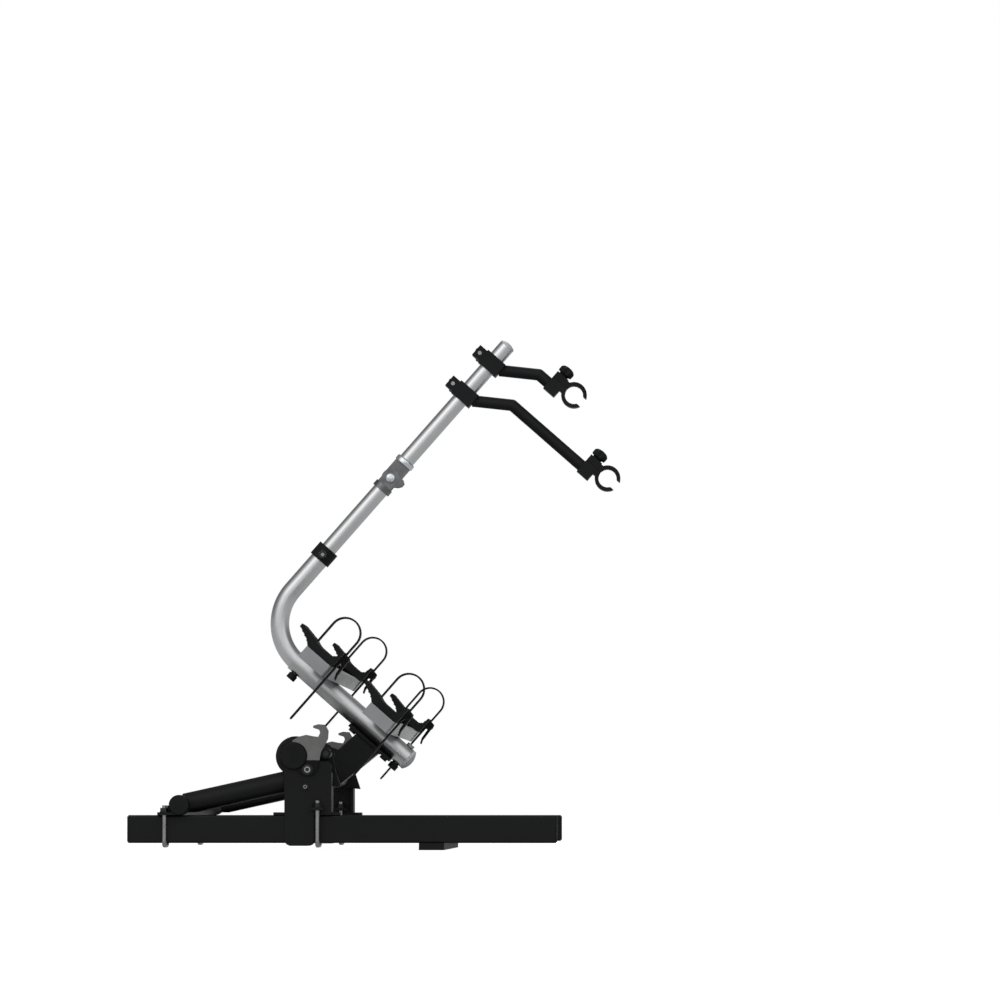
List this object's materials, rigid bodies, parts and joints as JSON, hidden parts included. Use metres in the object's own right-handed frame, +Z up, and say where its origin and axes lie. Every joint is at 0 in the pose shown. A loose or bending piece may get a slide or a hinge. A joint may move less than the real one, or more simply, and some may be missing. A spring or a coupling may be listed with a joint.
{
  "type": "caravan drawbar bike carrier",
  "caption": "Bike carrier for a caravan drawbar: tilting frame with wheel rails, sliding wheel holders, bent folding post and frame arms on a clamped rail base.",
  "frame": {"origin": "centre of the two drawbar holes on the underside of the cross plate", "axes": "+X along the base rails towards the caravan, +Y across the carrier, +Z up"},
  "size_m": [0.882, 1.208, 0.9499],
  "materials": {
    "black_steel": "satin black powder coat",
    "tilt_steel": "satin black powder coat",
    "zinc": "bright zinc plate",
    "dark_steel": "black oxide",
    "aluminium": "satin anodised",
    "black_plastic": "moulded grain",
    "grey_plastic": "smooth light grey",
    "white_plastic": "natural nylon",
    "cast_black": "black cast aluminium",
    "strap_plastic": "toothed strap"
  },
  "bodies": {
    "base": {"base_rail_near": "black_steel", "base_rail_far": "black_steel", "rail_end_caps": "black_plastic", "cross_plate": "black_steel", "cross_plate_bolts": "zinc", "bracket_near": "black_steel", "bracket_far": "black_steel", "u_bolts": "zinc", "u_bolt_nuts": "zinc", "pivot_tube": "black_steel", "pivot_tube_caps": "black_plastic", "struts": "black_steel", "front_cross_tube": "black_steel", "front_tube_caps": "black_plastic", "hook_plates": "zinc", "hook_bolts": "zinc"},
    "tilting_frame": {"side_plate_near": "tilt_steel", "side_plate_far": "tilt_steel", "pivot_bushes": "white_plastic", "tilt_cross_tube": "tilt_steel", "tilt_arm": "tilt_steel", "arm_flange_bolts": "dark_steel", "spine_tube": "aluminium", "spine_end_cap": "grey_plastic", "bend_tube": "aluminium", "frame_fasteners": "zinc", "spine_knobs": "black_plastic", "wheel_rail_front": "aluminium", "wheel_rail_rear": "aluminium", "wheel_rail_end_caps": "black_plastic", "collar": "black_plastic", "latch_housings": "tilt_steel"},
    "latch_near": {"latch_bolt_near": "dark_steel"},
    "latch_far": {"latch_bolt_far": "dark_steel"},
    "inner_post": {"inner_tube": "aluminium", "hinge_fork": "cast_black", "hinge_bolt": "zinc"},
    "upper_post": {"upper_tube": "aluminium", "hinge_tongue": "cast_black", "top_cap": "grey_plastic"},
    "short_arm": {"short_arm": "cast_black"},
    "short_jaw": {"short_jaw": "black_plastic"},
    "short_clamp_knob": {"short_clamp_knob": "black_plastic"},
    "short_jaw_knob": {"short_jaw_knob": "black_plastic"},
    "long_arm": {"long_arm": "cast_black"},
    "long_jaw": {"long_jaw": "black_plastic"},
    "long_clamp_knob": {"long_clamp_knob": "black_plastic"},
    "long_jaw_knob": {"long_jaw_knob": "black_plastic"},
    "wheel_holder_1": {"holder_1": "black_plastic", "strap_1": "strap_plastic"},
    "buckle_1": {"buckle_1": "black_plastic"},
    "wheel_holder_2": {"holder_2": "black_plastic", "strap_2": "strap_plastic"},
    "buckle_2": {"buckle_2": "black_plastic"},
    "wheel_holder_3": {"holder_3": "black_plastic", "strap_3": "strap_plastic"},
    "buckle_3": {"buckle_3": "black_plastic"},
    "wheel_holder_4": {"holder_4": "black_plastic", "strap_4": "strap_plastic"},
    "buckle_4": {"buckle_4": "black_plastic"}
  },
  "joints": [
    {"name": "platform_tilt", "type": "hinge", "parent": "base", "child": "tilting_frame", "pos_m": [-0.246, 0, 0.168], "axis": [0, 1, 0], "range_deg": [-41.3, 0]},
    {"name": "latch_near_slide", "type": "slide", "parent": "tilting_frame", "child": "latch_near", "axis": [0, -1, 0], "range_m": [0, 0.01]},
    {"name": "latch_far_slide", "type": "slide", "parent": "tilting_frame", "child": "latch_far", "axis": [0, 1, 0], "range_m": [0, 0.01]},
    {"name": "post_telescope", "type": "slide", "parent": "tilting_frame", "child": "inner_post", "axis": [0.66, 0, 0.7513], "range_m": [-0.03, 0.03]},
    {"name": "post_fold", "type": "hinge", "parent": "inner_post", "child": "upper_post", "pos_m": [-0.09134, 0, 0.69102], "axis": [0, 1, 0], "range_deg": [0, 80]},
    {"name": "short_arm_swivel", "type": "hinge", "parent": "upper_post", "child": "short_arm", "pos_m": [0.09742, 0, 0.90588], "axis": [0.66, 0, 0.7513], "range_deg": [-60, 60]},
    {"name": "short_clamp_turn", "type": "hinge", "parent": "short_arm", "child": "short_clamp_knob", "pos_m": [0.07563, 0.022, 0.92502], "axis": [0, 1, 0], "continuous": true},
    {"name": "short_jaw_open", "type": "slide", "parent": "short_arm", "child": "short_jaw", "axis": [0.66, 0, 0.7513], "range_m": [0, 0.02]},
    {"name": "short_jaw_knob_turn", "type": "hinge", "parent": "short_jaw", "child": "short_jaw_knob", "pos_m": [0.2354, 0, 0.88718], "axis": [0.66, 0, 0.7513], "continuous": true},
    {"name": "long_arm_swivel", "type": "hinge", "parent": "upper_post", "child": "long_arm", "pos_m": [0.04726, 0, 0.84878], "axis": [0.66, 0, 0.7513], "range_deg": [-60, 60]},
    {"name": "long_clamp_turn", "type": "hinge", "parent": "long_arm", "child": "long_clamp_knob", "pos_m": [0.02548, 0.022, 0.86792], "axis": [0, 1, 0], "continuous": true},
    {"name": "long_jaw_open", "type": "slide", "parent": "long_arm", "child": "long_jaw", "axis": [0.66, 0, 0.7513], "range_m": [0, 0.02]},
    {"name": "long_jaw_knob_turn", "type": "hinge", "parent": "long_jaw", "child": "long_jaw_knob", "pos_m": [0.29793, 0, 0.73108], "axis": [0.66, 0, 0.7513], "continuous": true},
    {"name": "wheel_holder_1_slide", "type": "slide", "parent": "tilting_frame", "child": "wheel_holder_1", "axis": [0, 1, 0], "range_m": [0, 0.18]},
    {"name": "buckle_1_lever", "type": "hinge", "parent": "wheel_holder_1", "child": "buckle_1", "pos_m": [-0.14764, -0.53, 0.3345], "axis": [0, -1, 0], "range_deg": [0, 110]},
    {"name": "wheel_holder_2_slide", "type": "slide", "parent": "tilting_frame", "child": "wheel_holder_2", "axis": [0, 1, 0], "range_m": [0, 0.18]},
    {"name": "buckle_2_lever", "type": "hinge", "parent": "wheel_holder_2", "child": "buckle_2", "pos_m": [-0.03496, -0.53, 0.2355], "axis": [0, -1, 0], "range_deg": [0, 110]},
    {"name": "wheel_holder_3_slide", "type": "slide", "parent": "tilting_frame", "child": "wheel_holder_3", "axis": [0, -1, 0], "range_m": [0, 0.18]},
    {"name": "buckle_3_lever", "type": "hinge", "parent": "wheel_holder_3", "child": "buckle_3", "pos_m": [-0.14764, 0.53, 0.3345], "axis": [0, -1, 0], "range_deg": [0, 110]},
    {"name": "wheel_holder_4_slide", "type": "slide", "parent": "tilting_frame", "child": "wheel_holder_4", "axis": [0, -1, 0], "range_m": [0, 0.18]},
    {"name": "buckle_4_lever", "type": "hinge", "parent": "wheel_holder_4", "child": "buckle_4", "pos_m": [-0.03496, 0.53, 0.2355], "axis": [0, -1, 0], "range_deg": [0, 110]}
  ]
}
